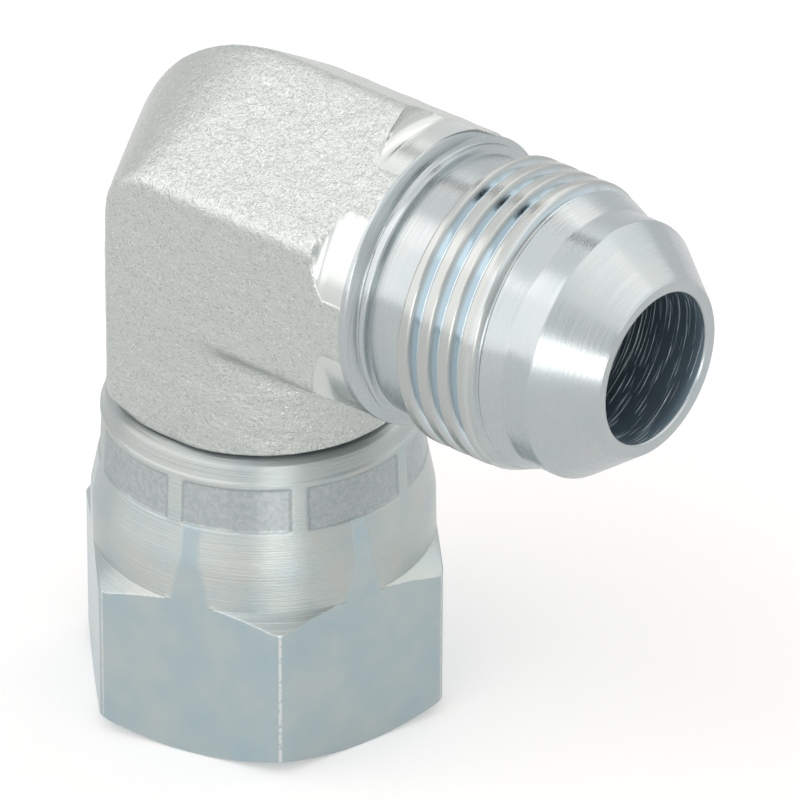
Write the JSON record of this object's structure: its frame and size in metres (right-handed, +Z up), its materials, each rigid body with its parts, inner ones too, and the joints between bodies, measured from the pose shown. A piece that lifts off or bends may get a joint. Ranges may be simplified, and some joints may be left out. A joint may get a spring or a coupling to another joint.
{
  "type": "hydraulic elbow adapter",
  "caption": "Right-angle hydraulic adapter: forged elbow with a male 37 degree flare thread on one arm and a crimped swivel hexagon nut on the other.",
  "frame": {"origin": "on the surface that the nut stands on, under the middle of the part's own box; the nut's axis is 9.68 mm towards -X from it", "axes": "+Z up along the nut's axis, +X along the threaded arm, towards its flare nose; the forging's flat sides face -Y and +Y"},
  "size_m": [0.0442, 0.0248, 0.0465],
  "materials": {
    "zinc_plated_forging": "shot-blasted forged steel with clear zinc plating, matt with fine glints; turned ends are brighter with fine tool lines",
    "zinc_plated_nut": "turned and drawn steel with clear zinc plating, bluish satin on the flats, fine rings on the barrel"
  },
  "bodies": {
    "elbow": {"elbow_body": "zinc_plated_forging"},
    "nut": {"swivel_nut": "zinc_plated_nut"}
  },
  "joints": [
    {"name": "nut_swivel", "type": "hinge", "parent": "elbow", "child": "nut", "pos_m": [-0.00968, 0, 0.0103], "axis": [0, 0, 1], "continuous": true}
  ]
}
